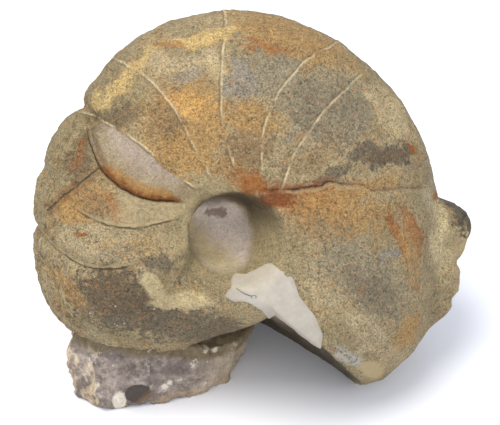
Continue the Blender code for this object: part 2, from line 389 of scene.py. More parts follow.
relief = lumps(seeded, 45.0, 2.0, 0.5, 0.1) * 4.0 + lumps(seeded, 13.0, 3.0, 0.55, 0.2) * 2.8
relief = relief + lumps(seeded, 5.0, 3.0, 0.6, 0.25) * 1.3
old_part = back.step(150.0, 178.0) * back.step(300.0, 270.0)
lobes = back * 0.0
for number, (mid, inner_bend, outer_bend) in enumerate(SUTURES):
    line = suture_back(mid, inner_bend, outer_bend, ratio)
    away = (back - line) * (pi / 180.0) * rho / MM + wander * SUTURE_WANDER
    if number == STEP_SUTURE:
        reach = (ratio + wander * 0.01).step(0.24, 0.34) * ratio.step(0.99, 0.90)
        sunk_side = away.step(-6.0, -0.2) * away.step(0.4, 0.0)
        relief = relief - away.bump(0.3, 0.9) * reach * 1.7 - sunk_side * reach * 1.2
    elif number < STEP_SUTURE:
        broken = lumps(seeded, 11.0, 2.0, 0.5, 0.5 + number * 0.1).step(-0.12, 0.04)
        reach = ratio.step(0.24, 0.32) * broken
        relief = relief + away.bump(0.0, 0.45) * reach * 0.35 - away.bump(1.1, 0.6) * reach * 0.35
        relief = relief + away.step(2.5, -0.5) * away.step(-9.0, -2.0) * reach * 0.30
    else:
        relief = relief - away.bump(0.0, 0.7) * suture_reach(number, ratio) * 0.8
    if number >= STEP_SUTURE - 1:
        lobes = lobes - away.bump(0.0, 3.6) * ratio.step(0.55, 0.92) * 2.2
relief = relief + lobes + old_part * ratio.step(0.6, 0.95)

off_crack = crack_off(x_mm, y_mm, wander)
gape = (lumps(seeded, 14.0, 2.0, 0.5, 3.7) * 3.0 + 0.8).over(0.15).under(1.3)
crack_relief = off_crack.bump(-2.0, 1.4) * 0.25 - off_crack.bump(0.0, 0.55) * gape
relief = relief + crack_relief * crack_reach(x_mm) * near
relief = relief - old_crack(x_mm, y_mm, wander).bump(0.0, 0.8) * near * 1.1

# worn and crumbled rim over the older chambers, with the bite above the oldest smooth chamber
rim_wear = ratio.step(0.80, 0.97) * back.step(120.0, 185.0) * back.step(320.0, 290.0)
chips = lumps(seeded, 7.0, 3.0, 0.6, 0.8).step(0.02, 0.14)
relief = relief + rim_wear * (lumps(seeded, 4.0, 2.0, 0.6, 0.9) * 1.8 - chips * 1.9)
bite = back.bump(182.5, 1.6) * ratio.step(0.88, 0.97) * height.bump(0.012, 0.018)
relief = relief - bite * 4.0
streaks = lumps(along_coil(coil_tree, back, rho, height), 3.0, 3.0, 0.6)
relief = relief + streaks * rim_streaks(back, ratio) * 3.2
small_bites = lumps(seeded, 16.0, 2.0, 0.5, 1.4).step(0.10, 0.20) * ratio.step(0.93, 0.99)
relief = relief - small_bites * back.step(60.0, 90.0) * back.step(335.0, 315.0) * 1.4

# raised lime crust over the early whorl, and faint rings round the foot of the navel
relief = relief + lime_crust(x_mm, y_mm, wander * 1.4) * near * (1.1 + wander * 0.4)
ring_reach = rho.step(0.012, 0.016) * rho.step(0.030, 0.022) * back.step(240.0, 262.0)
ring_reach = ring_reach * back.step(344.0, 325.0)
relief = relief + ((rho / MM + wander) * 1.1).math("SINE") * ring_reach * near * 0.25

# rock left on the outer rim of the body chamber: a ledge that breaks off short at its upper end
ledge_along = (back + wander * 0.5).step(12.0, 24.0) * (back + wander * 0.6).step(47.0, 42.5)
ledge_peak = 12.0 + 3.5 * back.bump(39.5, 3.5) - 3.0 * back.bump(31.0, 1.4) - 3.0 * back.bump(22.5, 1.4)
ledge_height = height / MM + wander * 3.0 + lumps(seeded, 24.0, 2.0, 0.5, 4.4) * 34.0
ledge_across = ledge_height.step(-30.0, -12.0) * ledge_height.step(32.0, 16.0)
ledge = ledge_along * ledge_peak * ledge_across * ratio.step(0.86, 0.975)

# broken mouth: sunk a little, rough and pitted
broken_mouth = lumps(seeded, 18.0, 3.0, 0.6, 1.7) * 6.0 + lumps(seeded, 5.0, 3.0, 0.6, 1.9) * 1.8
mouth_relief = broken_mouth * hollow.under(0.5) - 4.0 * hollow

# the stone under the plaster: smooth, and sunk a little
fill_x, fill_y = x_mm - FILL_FROM.x, y_mm - FILL_FROM.y
fill_share = (fill_x * FILL_RUN.x + fill_y * FILL_RUN.y) / FILL_RUN.length_squared
fill_share = fill_share.over(0.0).under(1.0)
fill_x, fill_y = fill_x - fill_share * FILL_RUN.x, fill_y - fill_share * FILL_RUN.y
under_fill = (fill_x * fill_x + fill_y * fill_y).math("SQRT").step(19.0, 9.0) * near
relief = relief * (1.0 - under_fill) - under_fill * 0.7
total = (relief * outside_navel + lumps(seeded, 9.0, 2.0, 0.5, 2.1) * 0.8) * on_shell + mouth_relief
total = (total * given["Relief"] + ledge * on_shell) * MM
facing = Wire.add(coil_tree, "GeometryNodeInputNormal")
shaped = reshaped(closed, "Offset", vector_math("SCALE", facing, total))

# --- grain and pits of the weathered siltstone; the grain is fainter in the navel, which has no pits
grain = lumps(seeded, 3.2, 3.0, 0.7, 2.5) * 0.75
worn = lumps(seeded, 22.0, 2.0, 0.5, 2.9).step(-0.10, 0.12) * 0.8 + 0.35
pits = pocks(seeded, 4.6, 3.1).step(0.30, 0.08) * lumps(seeded, 12.0, 2.0, 0.5, 3.3).step(0.02, 0.16)
fine = (grain * worn * outside_navel.over(0.35) - pits * 0.35 * outside_navel) * MM
grained = reshaped(shaped, "Offset", vector_math("SCALE", facing, fine * given["Relief"]))

# --- the foot under the mouth is worn flat where the fossil stands
world_x, world_y, world_z = parts_of(place)
grounded = reshaped(grained, "Position", joined(coil_tree, world_x, world_y, world_z.over(0.0)))
realized = Wire.add(coil_tree, "GeometryNodeRealizeInstances", {}, {"Geometry": grounded})
stone = bpy.data.materials.new("Weathered ochre siltstone")
finished = Wire.add(coil_tree, "GeometryNodeSetMaterial", {}, {"Geometry": realized})
finished.socket.node.inputs["Material"].default_value = stone
smooth = Wire.add(coil_tree, "GeometryNodeSetShadeSmooth", {}, {"Geometry": finished})
coil_output = coil_tree.nodes.new("NodeGroupOutput")
coil_tree.links.new(smooth.socket, coil_output.inputs["Mesh"])


def grown(name, tree, sockets, values):
    """Evaluate a Geometry Nodes tree with the given inputs and return its result as a plain mesh."""
    carrier = bpy.data.objects.new(name + "_source", bpy.data.meshes.new(name + "_source"))
    bpy.context.collection.objects.link(carrier)
    modifier = carrier.modifiers.new("Growth", "NODES")
    modifier.node_group = tree
    for label, value in values:
        modifier[sockets[label].identifier] = value
    graph = bpy.context.evaluated_depsgraph_get()
    mesh = bpy.data.meshes.new_from_object(carrier.evaluated_get(graph))
    carrier.modifiers.remove(modifier)
    bpy.data.objects.remove(carrier, do_unlink=True)
    mesh.name = name
    made = bpy.data.objects.new(name, mesh)
    bpy.context.collection.objects.link(made)
    return made


counts = dict(COIL_COUNTS)
mould = grown("stone_mould", coil_tree, coil_socket, COIL_SIZES + list(counts.items()))

shape = bmesh.new()
shape.from_mesh(mould.data)
bmesh.ops.recalc_face_normals(shape, faces=shape.faces)
shape.to_mesh(mould.data)
shape.free()

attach(mould, "root")
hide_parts("nautilus_fossil")

# --- colours: ochre and olive siltstone, rust round the navel, grey chambers, a dark early whorl


def linear(red, green, blue):
    """A colour mixed for the stone, from screen values of 0 to 255."""
    screen = zip((red, green, blue), DARKEN)
    return tuple((value / 255.0) ** 2.2 * share for value, share in screen) + (1.0,)


def blended(share, under, over):
    return Wire.add(share.tree, "ShaderNodeMix", {"data_type": "RGBA"}, {0: share, 6: under, 7: over}, 2)


def tinted(colour, strength):
    """A plain colour made lighter and darker by a number that varies over the surface."""
    inputs = {0: colour[:3], 3: strength}
    return Wire.add(strength.tree, "ShaderNodeVectorMath", {"operation": "SCALE"}, inputs)


def started(material):
    """Clear a material's nodes and return its tree, its shader node and its object coordinates."""
    material.use_nodes = True
    tree = material.node_tree
    tree.nodes.clear()
    shader = tree.nodes.new("ShaderNodeBsdfPrincipled")
    out = tree.nodes.new("ShaderNodeOutputMaterial")
    tree.links.new(shader.outputs[0], out.inputs[0])
    return tree, shader, Wire.add(tree, "ShaderNodeTexCoord", {}, {}, 3)


def finish_material(shader, paint, roughness, shine, bump_height, bump_depth, bump_strength=1.0):
    """Join colour, roughness and bump to a material's shader node."""
    inputs = {"Strength": bump_strength, "Distance": bump_depth, "Height": bump_height}
    bumped = Wire.add(paint.tree, "ShaderNodeBump", {}, inputs)
    shader.inputs["Specular IOR Level"].default_value = shine
    for socket, value in (("Base Color", paint), ("Roughness", roughness.under(1.0)), ("Normal", bumped)):
        paint.tree.links.new(value.socket, shader.inputs[socket])


DARKEN = (0.70, 0.68, 0.60)          # shares of red, green and blue kept: the colours are mixed too pale
KHAKI, PALE_KHAKI, OLIVE = linear(171, 154, 122), linear(186, 170, 138), linear(150, 136, 105)
OCHRE, RUST, RED_RUST = linear(178, 140, 88), linear(160, 97, 40), linear(124, 66, 28)
YELLOW, CREAM, UMBER = linear(214, 184, 124), linear(206, 188, 148), linear(108, 92, 72)
GREY, BLUE_GREY, DARK_GREY = linear(150, 139, 117), linear(150, 143, 134), linear(112, 102, 86)
MAUVE, TAN, BLACK_BROWN = linear(183, 170, 164), linear(196, 176, 138), linear(58, 46, 34)
SHELL_TAN, BROWN, AMBER = linear(166, 150, 126), linear(142, 118, 88), linear(206, 162, 100)

tree, shader, point = started(stone)
x, y, height, rho, back = coil_coordinates(point)
x_mm, y_mm = x / MM, y / MM
ratio = rho / whorl_radius(back)
near = height.step(-0.014, 0.002)


def noise_at(size_mm, offset, detail=3.0, roughness=0.55):
    return lumps(point, size_mm, detail, roughness, offset)


coarse, medium, small = noise_at(30.0, 4.1), noise_at(9.0, 4.3), noise_at(2.6, 4.5)
second, third = noise_at(13.0, 5.1, 4.0, 0.6), noise_at(6.0, 5.3, 4.0, 0.65)
speck, grain = noise_at(1.5, 5.5, 3.0, 0.7), noise_at(0.8, 4.7, 2.0, 0.7)
ragged = third * 1.5 + small * 0.9 + speck * 0.6
wander = noise_at(9.0, 0.0) * 2.2 + noise_at(2.5, 0.3, 2.0, 0.5) * 0.8
warp_x = x_mm + noise_at(17.0, 6.1, 4.0, 0.6) * 16.0 + small * 2.0
warp_y = y_mm + noise_at(17.0, 6.7, 4.0, 0.6) * 16.0 + speck * 2.0

paint = blended((coarse + medium * 0.6).step(-0.18, 0.22), KHAKI, OLIVE)
paint = blended((second + small * 0.3).step(0.04, 0.22) * 0.55, paint, OCHRE)
paint = blended((third + coarse * 0.5).step(0.08, 0.26) * 0.5, paint, GREY)
far_side = 1.0 - near
far_ochre = (noise_at(38.0, 7.1) + ragged * 0.25).step(-0.02, 0.16)
paint = blended(far_ochre * far_side * 0.75, paint, OCHRE)
far_grey = (noise_at(33.0, 7.7) + ragged * 0.25 + coarse * 0.4).step(0.02, 0.18)
paint = blended(far_grey * far_side * 0.65, paint, DARK_GREY)

# patches of the near flank: colour, centre x and y, half length and half width (mm), turn (degrees),
# strength and softness
PATCHES = [
    (PALE_KHAKI, -62, 2, 22, 11, 0, 0.6, 0.5), (OLIVE, -66, 45, 20, 9, 55, 0.6, 0.5),
    (UMBER, -62, 40, 13, 6, 60, 0.75, 0.6), (RUST, -62, 42, 8, 3, 60, 0.4, 0.6),
    (OCHRE, -64, 19, 15, 8, 15, 0.85, 0.4), (BROWN, -57, 18, 11, 6, -30, 0.7, 0.5),
    (RUST, -50, 15, 9, 3, -55, 0.7, 0.5), (RUST, -68, 3, 4, 2, 0, 0.8, 0.5),
    (OCHRE, -48, -3, 16, 5, -8, 0.4, 0.6), (GREY, -52, -5, 12, 4, 10, 0.6, 0.5),
    (OLIVE, -44, 80, 24, 7, 38, 0.7, 0.4), (YELLOW, -36, 74, 22, 2.6, 37, 0.75, 0.5),
    (UMBER, -42, 57, 13, 7, 20, 0.75, 0.6), (OCHRE, -14, 50, 26, 20, 70, 0.8, 0.5),
    (BROWN, -22, 55, 11, 8, 50, 0.75, 0.5), (AMBER, -10, 62, 12, 6, -12, 0.85, 0.5),
    (PALE_KHAKI, -8, 79, 19, 5, 4, 0.85, 0.4), (BLUE_GREY, -9, 73, 8, 2.6, 8, 0.6, 0.5),
    (TAN, 4, 76, 6, 6, 0, 0.6, 0.5), (YELLOW, 5, 89, 19, 3.8, 2, 0.9, 0.4),
    (RUST, -14, 87, 7, 2, 0, 0.5, 0.5),
    (OCHRE, 46, 82, 34, 9, -24, 0.7, 0.4), (RUST, 30, 81, 12, 3, -14, 0.6, 0.6),
    (GREY, 30, 70, 19, 10, -12, 0.95, 0.3), (BLUE_GREY, 13, 69, 9, 8, 60, 0.8, 0.4),
    (GREY, 52, 52, 27, 19, -15, 0.9, 0.35), (DARK_GREY, 52, 52, 20, 13, -15, 0.4, 0.5),
    (BROWN, 12, 36, 15, 11, 60, 0.8, 0.5), (OCHRE, 16, 52, 15, 7, -20, 0.7, 0.5),
    (BROWN, 42, 30, 18, 6, 20, 0.5, 0.6),
    (TAN, 88, 43, 18, 9, -52, 0.95, 0.3), (KHAKI, 78, 58, 14, 3, -40, 0.7, 0.5),
    (DARK_GREY, 79, 26, 19, 6, -12, 0.95, 0.3), (UMBER, 80, 25, 13, 3.5, -12, 0.7, 0.5),
    (DARK_GREY, 52, 21, 13, 3, 22, 0.85, 0.4), (OCHRE, 70, 13, 18, 4, 2, 0.6, 0.5),
    (RUST, 96, 25, 4, 2, -40, 0.9, 0.5), (OCHRE, 0, 30, 14, 5, -10, 0.5, 0.5),
    (RUST, 34, 11, 20, 8, 0, 0.6, 0.6), (RUST, 45, 6, 26, 10, -8, 0.3, 0.7),
    (OCHRE, 52, 1, 26, 13, -12, 0.65, 0.5),
    (BROWN, 46, -6, 20, 9, -30, 0.5, 0.6), (OLIVE, 26, -10, 17, 9, -65, 0.8, 0.5),
    (PALE_KHAKI, 38, -30, 26, 7, -52, 0.35, 0.6), (GREY, 62, -32, 32, 15, -48, 0.85, 0.4),
    (DARK_GREY, 66, -38, 22, 8, -48, 0.5, 0.6), (RUST, 82, -14, 15, 3.0, -73, 0.75, 0.5),
    (RUST, 91, -13, 16, 4.5, -68, 0.7, 0.5), (OCHRE, 88, -24, 14, 7, -70, 0.6, 0.5),
    (PALE_KHAKI, 107, -18, 30, 6, -82, 0.95, 0.4), (CREAM, 113, -26, 22, 7, -82, 0.85, 0.4),
    (BLUE_GREY, 76, -21, 6, 3, 0, 0.8, 0.5),
    (OCHRE, 84, -64, 13, 8, 50, 0.8, 0.5), (PALE_KHAKI, 66, -62, 28, 8, -48, 0.75, 0.5),
    (KHAKI, 16, -36, 16, 8, -40, 0.7, 0.5), (DARK_GREY, -51, -30, 25, 17, -25, 0.95, 0.3),
    (UMBER, -54, -25, 19, 10, -25, 0.75, 0.5), (DARK_GREY, -20, -48, 30, 11, -15, 0.9, 0.4),
    (DARK_GREY, -34, -11, 9, 4, -20, 0.8, 0.5), (OCHRE, -76, -22, 12, 4, -60, 0.6, 0.6),
    (PALE_KHAKI, -60, -52, 22, 3, -38, 0.6, 0.6)]
for colour, *place, strength, softness in PATCHES:
    cover = (oval(warp_x, warp_y, *place) + ragged).step(1.0 + softness * 0.5, 1.0 - softness * 0.8)
    paint = blended(cover * strength * near, paint, colour)

# the smooth pinkish chamber, its rusted lower slope, and the pale strip of partition below it
lines = [suture_back(mid, inner_bend, outer_bend, ratio) for mid, inner_bend, outer_bend in SUTURES]
reach_mm = rho * (pi / 180.0) / MM
above_step = (lines[STEP_SUTURE] - back) * reach_mm + wander * 0.4
below_old = (back - lines[STEP_SUTURE - 1]) * reach_mm + wander * 0.4
chamber = above_step.step(0.0, 1.0) * below_old.step(0.0, 1.5)
chamber = chamber * ratio.step(0.94, 0.80) * ratio.step(0.22, 0.30) * near
paint = blended(chamber * 0.9, paint, blended((third + medium).step(-0.25, 0.25), SHELL_TAN, BROWN))
paint = blended(chamber * above_step.step(7.0, 15.0) * 0.55, paint, MAUVE)
paint = blended(chamber * (medium + small * 0.6).step(0.06, 0.20) * 0.55, paint, BLUE_GREY)
rust_depth = 7.5 * (x_mm + 36.0).math("ABSOLUTE").step(22.0, 9.0) + wander * 1.6 + ragged * 1.5
rusted = (rust_depth - above_step).step(0.0, 2.2) * above_step.step(-0.6, 0.0)
rusted = rusted * ratio.step(0.86, 0.78) * near
deep_rust = (above_step + ragged * 4.0).step(4.5, 1.0)
rust_paint = blended(deep_rust, linear(166, 128, 82), linear(136, 84, 38))
paint = blended(rusted * rho.step(0.019, 0.026), paint, rust_paint)
strip = above_step.step(0.0, -0.8) * ((lines[STEP_SUTURE + 1] - back) * reach_mm).step(0.0, 1.0)
strip = strip * ratio.step(0.70, 0.55) * near
paint = blended(strip * 0.8, paint, tinted(KHAKI, 1.0 + ragged * 0.2))

# fine grain: mottled rust and grey grains, calmer on the chamber and the strip
calm = 1.0 - 0.5 * chamber.over(strip)
paint = blended((speck + third * 0.7).step(0.05, 0.25) * calm * 0.55, paint, RUST)
paint = blended((noise_at(1.9, 8.3, 3.0, 0.7) + second * 0.6).step(0.07, 0.25) * calm * 0.6, paint, UMBER)
paint = blended((noise_at(1.1, 8.9, 3.0, 0.7)).step(0.12, 0.26) * calm * 0.65, paint, CREAM)
# streaks along the coil, strong on the worn rim of the oldest chambers
streaks = lumps(along_coil(tree, back, rho, height), 1.5, 3.0, 0.65)
streaks = streaks * (0.25 + 0.9 * rim_streaks(back, ratio))
light_and_dark = 1.0 + (small * 0.9 + grain * 2.5 + speck * 1.6) * calm + medium * 0.4 + streaks
paint = vector_math("SCALE", paint, light_and_dark.over(0.35))

# sutures: lime in the younger ones with a painted shadow beside each, a painted shadow along the open step,
# and on the older ones a painted shadow in the groove and a pale lower lip
for number, line in enumerate(lines):
    away = (back - line) * reach_mm + wander * SUTURE_WANDER
    if number < STEP_SUTURE:
        broken = noise_at(11.0, 0.5 + number * 0.1, 2.0, 0.5).step(-0.12, 0.04)
        reach = ratio.step(0.24, 0.32) * broken * near
        lime = away.bump(0.0, 0.48) * reach * (0.72 + small * 1.8).over(0.0).under(1.0)
        paint = blended(lime, paint, linear(228, 210, 176))
        # painted shadow beside the lime line, where the relief sinks a groove
        paint = blended(away.bump(1.0, 0.4) * reach * 0.55, paint, UMBER)
    elif number == STEP_SUTURE:
        reach = ratio.step(0.24, 0.34) * ratio.step(0.95, 0.86) * near
        # painted shadow along the foot of the open step
        paint = blended(away.bump(0.1, 0.5) * reach, paint, BLACK_BROWN)
    else:
        reach = suture_reach(number, ratio) * near
        faded = 0.3 + 0.6 * (noise_at(8.0, 2.7 + number, 3.0, 0.6) + speck * 0.4).step(-0.16, 0.10)
        paint = blended(away.bump(-1.1, 0.7) * reach * 0.5, paint, CREAM)
        # painted shadow in the groove of the older suture
        paint = blended(away.bump(0.0, 0.4) * reach * faded, paint, BLACK_BROWN)

# the long crack, with painted shade in its gap, and its rusty banks
off_crack = crack_off(x_mm, y_mm, wander)
reach = crack_reach(x_mm) * near
gape = (noise_at(14.0, 3.7, 2.0, 0.5) * 3.0 + 0.8).over(0.15).under(1.0)
paint = blended(off_crack.bump(-1.6, 0.8) * reach * 0.4, paint, CREAM)
paint = blended((off_crack + ragged * 2.0).bump(0.6, 1.8) * reach * 0.5, paint, RED_RUST)
# painted shade in the crack's gap, darker where it gapes wider
paint = blended(off_crack.bump(0.0, 0.45) * reach * gape, paint, BLACK_BROWN)
cracked = old_crack(x_mm, y_mm, wander)
# painted shade in the gap of the old crack across the left rim
paint = blended(cracked.bump(0.0, 0.6) * near * (0.75 + ragged).over(0.2).under(0.95), paint, BLACK_BROWN)
paint = blended(cracked.bump(1.8, 1.0) * near * 0.35, paint, RED_RUST)

# pale lime crust and white specks on the dark early whorl
crust = lime_crust(x_mm, y_mm, wander * 1.4 + ragged * 3.0) * near
crust_paint = blended((small + third).step(-0.1, 0.2), CREAM, TAN)
paint = blended(crust * 0.9, paint, vector_math("SCALE", crust_paint, 1.0 + speck * 1.3 + grain * 1.2))
dark_whorl = (((x_mm + 52.0) / 22.0) ** 2.0 + ((y_mm + 35.0) / 12.0) ** 2.0).step(1.2, 0.6) * near
flecks = (pocks(point, 3.4, 9.1) + speck * 0.25).step(0.20, 0.12) * noise_at(10.0, 9.5).step(-0.06, 0.06)
paint = blended(flecks * dark_whorl * 0.85, paint, linear(225, 220, 218))

# the navel: an olive wall with painted shade on its upper right, and a mauve floor with painted shadow
# under the top rim and a brown spot under a rusted shoulder
floor_reach = ((x_mm + 0.5) ** 2.0 + (y_mm + 3.8) ** 2.0 * 0.85).math("SQRT") + wander * 0.8
wall_paint = tinted(OLIVE, 1.2 + small + ragged * 0.5 + grain * 1.6)
paint = blended((rho + ragged * 0.003).step(0.030, 0.020) * near * 0.8, paint, wall_paint)
floor_paint = tinted(MAUVE, 1.42 + y_mm.step(-6.0, 8.0) * 0.38 + small * 0.8 + speck + grain * 1.2)
paint = blended((floor_reach + ragged * 2.0).step(17.0, 13.5) * near * 0.95, paint, floor_paint)
wall_side = (x * 0.45 + y * 0.9) / (rho + 0.001)
wall_head = 0.0228 + (x * 0.0048 - y * 0.0042) / (rho + 0.001)
lower_left = (x * -0.8 - y * 0.6) / MM + ragged * 10.0
lower_left = lower_left.step(2.0, 12.0) * (floor_reach + ragged).step(17.0, 13.5) * near
paint = blended(lower_left * 0.8, paint, tinted(OLIVE, 1.85 + small + grain))
# painted shade on the navel's upper and right wall, under its overhanging rim
wall_shade = rho.step(0.0130, 0.0160) * (rho / wall_head).step(0.98, 0.84) * wall_side.step(0.15, 0.9)
wall_shade = wall_shade * near
paint = blended((wall_shade * (0.95 + ragged)).under(1.0) * 0.85, paint, linear(70, 58, 42))
# painted shadow across the top of the navel floor, under the rim
under_rim_painted_shadow = (y_mm + ragged * 3.0).step(6.5, 11.5) * rho.step(0.020, 0.016) * near
paint = blended(under_rim_painted_shadow * 0.7, paint, linear(84, 68, 54))
spot = (oval(x_mm, y_mm, 0.4, 5.0, 5.5, 2.6, -8) + ragged * 1.6).step(1.2, 0.4)
paint = blended(spot * near * 0.7, paint, linear(118, 92, 80))
shoulder = (oval(x_mm, y_mm, 12.5, 21.5, 9.0, 6.0, -25) + ragged).step(1.25, 0.5)
shoulder = shoulder * near * rho.step(0.016, 0.020)
paint = blended(shoulder * 0.85, paint, tinted(RUST, 0.95 + small + grain * 1.5))
reddened = (oval(x_mm, y_mm, 23.5, 13.0, 8.0, 4.6, -15) + ragged).step(1.25, 0.6) * near
paint = blended(reddened * 0.85, paint, tinted(RED_RUST, 1.0 + small * 1.5 + grain * 1.5))

# the mouth: dark matrix on the break, a grey-white smear and a clean tan chip along the lip
in_mouth = Wire.add(tree, "ShaderNodeAttribute", {"attribute_name": "mouth_hollow"}, {}, 2)
in_mouth = (in_mouth * 5.0).under(1.0) * rho.step(0.037, 0.042)
matrix = blended((medium + small * 0.5).step(-0.1, 0.2), linear(104, 96, 84), linear(132, 120, 102))
paint = blended(in_mouth * 0.9, paint, vector_math("SCALE", matrix, 1.0 + small * 0.5 + grain * 0.5))
lip_x, lip_y = warp_x * 0.3 + x_mm * 0.7, warp_y * 0.3 + y_mm * 0.7
lip_back = in_mouth * height.step(0.022, 0.034)
paint = blended(lip_back * 0.9, paint, tinted(KHAKI, 0.9 + small * 0.5))
smear = (oval(lip_x, lip_y, 52.0, -68.5, 12.0, 3.6, -40) + ragged).step(1.3, 0.6)
smear = smear * (small + grain).step(-0.18, 0.05)
paint = blended(smear * near * 0.85, paint, linear(190, 186, 184))
chip = (oval(lip_x, lip_y, 66.0, -80.5, 11.0, 5.0, -44) + ragged).step(1.2, 0.8)
paint = blended(chip * near * 0.9, paint, TAN)

# the ledge on the rim: clean cream, with a dark grey break at its upper end
on_ledge = (ratio + ragged * 0.02).step(1.01, 1.07) * (back + ragged * 8.0).step(8.0, 18.0)
on_ledge = on_ledge * back.step(56.0, 50.0)
paint = blended(on_ledge * 0.8, paint, tinted(TAN, 1.0 + ragged * 0.4 + speck * 0.6 + medium * 0.5))
dark_break = (oval(x_mm, y_mm, 126.0, -14.0, 14.0, 7.5, -55.0) + ragged * 1.2).step(1.15, 0.75)
dark_break = dark_break * (ratio + wander * 0.006).step(0.97, 1.00)
paint = blended(dark_break * 0.95, paint, tinted(DARK_GREY, 0.72 + small * 1.4 + ragged * 0.7))
rust_dot = oval(x_mm, y_mm, 111.0, -2.0, 3.0, 2.0, 0.0) + ragged
paint = blended(rust_dot.step(1.3, 0.6) * near * 0.8, paint, RUST)

grain_height = small * 0.45 + speck * 0.45 + grain * 0.35 + streaks * 0.4
finish_material(shader, paint, 0.84 + small * 0.25, 0.35, grain_height * calm, 0.0024)

# ============================================================ the piece of bedding rock
# Grey-mauve limestone of the bed that the fossil lay in, broken off with it along old joints. It still
# holds the oldest whorl on its top, and the fossil stands on its flat underside. A dark round burrow
# filling shows low on its front.

# outline of the block from above, x and y from the coil's centre
BLOCK_OUTLINE = [(-0.067, -0.038), (-0.053, -0.048), (-0.028, -0.044), (-0.006, -0.037), (0.006, -0.026),
                 (0.014, -0.008), (0.012, 0.014), (-0.006, 0.024), (-0.042, 0.026), (-0.064, 0.010)]
BLOCK_MIDDLE = (-0.030, -0.008)
# the outline at five heights: height, spread, shift to the right, extra reach of its right end
BLOCK_LEVELS = [(0.000, 1.02, 0.0, 0.003), (0.005, 1.03, 0.0, 0.004), (0.014, 1.05, -0.0012, 0.005),
                (0.030, 1.05, -0.0018, 0.008), (0.046, 0.93, 0.001, 0.013)]
BURROW = Vector((-0.0578, -0.0500, 0.0098))
BURROW_RADIUS = 0.0066
VOXEL = 0.0011


def sunk_to_right(height, x):
    """The top of the block is lower at its right end, where the whorl has lifted off it."""
    if height < 0.02:
        return height
    share = min(1.0, max(0.0, (x + 0.050) / 0.070))
    return height * (1.0 - 0.45 * share * share * (3.0 - 2.0 * share))


shape = bmesh.new()
rings = []
for height, spread, shift, right_reach in BLOCK_LEVELS:
    ring = []
    for x_out, y_out in BLOCK_OUTLINE:
        x_here = BLOCK_MIDDLE[0] + (x_out - BLOCK_MIDDLE[0]) * spread + shift
        x_here += max(0.0, x_out - BLOCK_MIDDLE[0]) / 0.044 * right_reach
        y_here = BLOCK_MIDDLE[1] + (y_out - BLOCK_MIDDLE[1]) * spread
        place = (COIL_CENTRE.x + x_here, COIL_CENTRE.y + y_here, sunk_to_right(height, x_here))
        ring.append(shape.verts.new(place))
    rings.append(ring)
for lower, upper in zip(rings, rings[1:]):
    for j in range(len(lower)):
        k = (j + 1) % len(lower)
        shape.faces.new((lower[j], lower[k], upper[k], upper[j]))
shape.faces.new(rings[0])
shape.faces.new(rings[-1])
bmesh.ops.recalc_face_normals(shape, faces=shape.faces)
bmesh.ops.triangulate(shape, faces=shape.faces)


def object_from(shape, name):
    """A new object with the given shape as its mesh."""
    mesh = bpy.data.meshes.new(name)
    shape.to_mesh(mesh)
    shape.free()
    made = bpy.data.objects.new(name, mesh)
    bpy.context.collection.objects.link(made)
    return made


def remeshed(piece, size):
    """Replace a piece's mesh by an even skin of small faces."""
    modifier = piece.modifiers.new("Skin", "REMESH")
    modifier.mode = "VOXEL"
    modifier.voxel_size = size
    graph = bpy.context.evaluated_depsgraph_get()
    skin = bpy.data.meshes.new_from_object(piece.evaluated_get(graph))
    piece.modifiers.remove(modifier)
    piece.data = skin


def surface_of(piece):
    """The vertices of a piece, each with its place and direction before any of them is moved."""
    return [(vertex, vertex.co.copy(), vertex.normal.copy()) for vertex in piece.data.vertices]


block = object_from(shape, "bedding_block")
remeshed(block, VOXEL)


def broken_rock(place, size):
    """Height of flat broken facets: each cell is a plane of its own tilt."""
    seed = noise.voronoi(place / size)[1][0]
    return noise.noise_vector(seed * 3.7).dot(place / size - seed)


noise.seed_set(7)                  # the tilts of the facets are the same in every run
for vertex, place, facing in surface_of(block):
    rise = broken_rock(place + Vector((0.0, 0.05, 0.0)), 0.017) * 0.0034
    rise += broken_rock(place, 0.0065) * 0.0012
    rise += noise.fractal(place / 0.020, 0.9, 2.0, 4) * 0.0012
    rise += noise.fractal(place / 0.0030, 0.8, 2.0, 3) * 0.00034
    low_edge = max(0.0, 1.0 - place.z / 0.006)
    rise -= low_edge * (0.0010 + 0.0016 * noise.noise(place / 0.009))
    from_burrow = ((place - BURROW) * Vector((1.0, 0.4, 1.0))).length
    if facing.y < -0.3 and from_burrow < BURROW_RADIUS * 1.6:
        inside = min(1.0, max(0.0, (BURROW_RADIUS - from_burrow) / 0.0010))
        groove = max(0.0, 1.0 - abs(from_burrow - BURROW_RADIUS) / 0.0009)
        rise = rise * (1.0 - 0.7 * inside) + 0.0007 * inside - 0.0007 * groove
    vertex.co = place + facing * rise
    if vertex.co.z < 0.0004:
        vertex.co.z = 0.0
block.data.shade_smooth()

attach(block, "root")
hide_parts("nautilus_fossil")

bed = bpy.data.materials.new("Grey-mauve bedding rock")
block.data.materials.clear()
block.data.materials.append(bed)
tree, shader, point = started(bed)
world_x, world_y, world_z = parts_of(point)
facing_x, facing_y = parts_of(Wire.add(tree, "ShaderNodeNewGeometry", {}, {}, 1))[:2]
medium, small = noise_at(11.0, 1.3), noise_at(3.2, 1.7)
speck, grain = noise_at(1.5, 2.1), noise_at(0.7, 2.3, 2.0, 0.7)
paint = blended((medium + small * 0.8).step(-0.15, 0.2), linear(112, 102, 100), linear(150, 139, 135))
paint = blended((noise_at(17.0, 2.9) + small * 0.4).step(0.05, 0.2) * 0.6, paint, linear(96, 86, 82))
